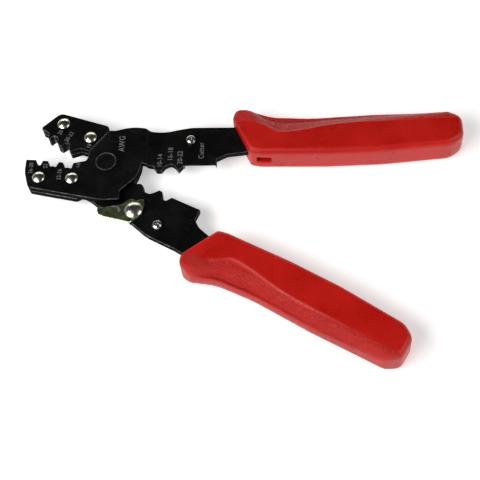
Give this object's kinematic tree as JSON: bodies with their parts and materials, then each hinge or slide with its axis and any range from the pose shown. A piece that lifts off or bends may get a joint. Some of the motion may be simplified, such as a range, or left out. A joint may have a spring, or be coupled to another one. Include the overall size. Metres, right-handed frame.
{
  "type": "terminal crimping plier",
  "caption": "Open-barrel terminal crimping plier with stepped jaw nests, inner crimp nests, wire cutter, lock latch and dipped grips, shown open.",
  "frame": {"origin": "middle of the pivot rivet's flush front face, on the axis the two levers turn about", "axes": "+X towards the grips along the upper (front) lever, +Y across the tool from the lower to the upper lever, +Z out of the front face, along the pivot axis. The rear lever is at its opening stop at rest."},
  "size_m": [0.2124, 0.1344, 0.0161],
  "materials": {
    "front_lever_steel": "blackened stamped steel, satin, edges slightly bright",
    "rear_lever_steel": "blackened stamped steel, satin, edges slightly bright",
    "upper_die_steel": "blackened ground steel, satin",
    "lower_die_steel": "blackened ground steel, satin",
    "die_rivet_nickel": "polished nickel plate",
    "pivot_rivet_steel": "blackened steel, turned and flush",
    "cap_washer_zinc": "zinc plate, dull",
    "spring_wire": "drawn spring wire, lightly oiled",
    "latch_plated_steel": "nickel plate over stamped sheet, polished",
    "latch_rivet_nickel": "polished nickel plate",
    "latch_washer_steel": "plain spring steel",
    "anchor_screw_nickel": "nickel plate",
    "anchor_washer_zinc": "zinc plate, dull",
    "anchor_nut_zinc": "zinc plate, dull",
    "grip_red": "soft PVC, leather grain, semi-matte"
  },
  "bodies": {
    "front_half": {"front_lever": "front_lever_steel", "lower_die": "lower_die_steel", "lower_die_rivet_outer": "die_rivet_nickel", "lower_die_rivet_inner": "die_rivet_nickel", "pivot_rivet": "pivot_rivet_steel", "spring_cap_washer": "cap_washer_zinc", "return_spring": "spring_wire", "upper_anchor_screw": "anchor_screw_nickel", "upper_anchor_washer": "anchor_washer_zinc", "upper_anchor_nut": "anchor_nut_zinc", "upper_grip": "grip_red"},
    "rear_half": {"rear_lever": "rear_lever_steel", "upper_die": "upper_die_steel", "upper_die_rivet_outer": "die_rivet_nickel", "upper_die_rivet_inner": "die_rivet_nickel", "latch_rivet": "latch_rivet_nickel", "latch_friction_washer": "latch_washer_steel", "lower_anchor_screw": "anchor_screw_nickel", "lower_anchor_washer": "anchor_washer_zinc", "lower_anchor_nut": "anchor_nut_zinc", "lower_grip": "grip_red"},
    "latch": {"lock_latch": "latch_plated_steel"}
  },
  "joints": [
    {"name": "main_pivot", "type": "hinge", "parent": "front_half", "child": "rear_half", "pos_m": [0, 0, 0], "axis": [0, 0, 1], "range_deg": [0, 26.5], "stiffness_Nm_per_rad": 0.25, "springref_deg": -22.92, "deforming": ["return_spring"]},
    {"name": "latch_pivot", "type": "hinge", "parent": "rear_half", "child": "latch", "pos_m": [0.01528, -0.0274, 0], "axis": [0, 0, -1], "range_deg": [0, 13.5]}
  ]
}
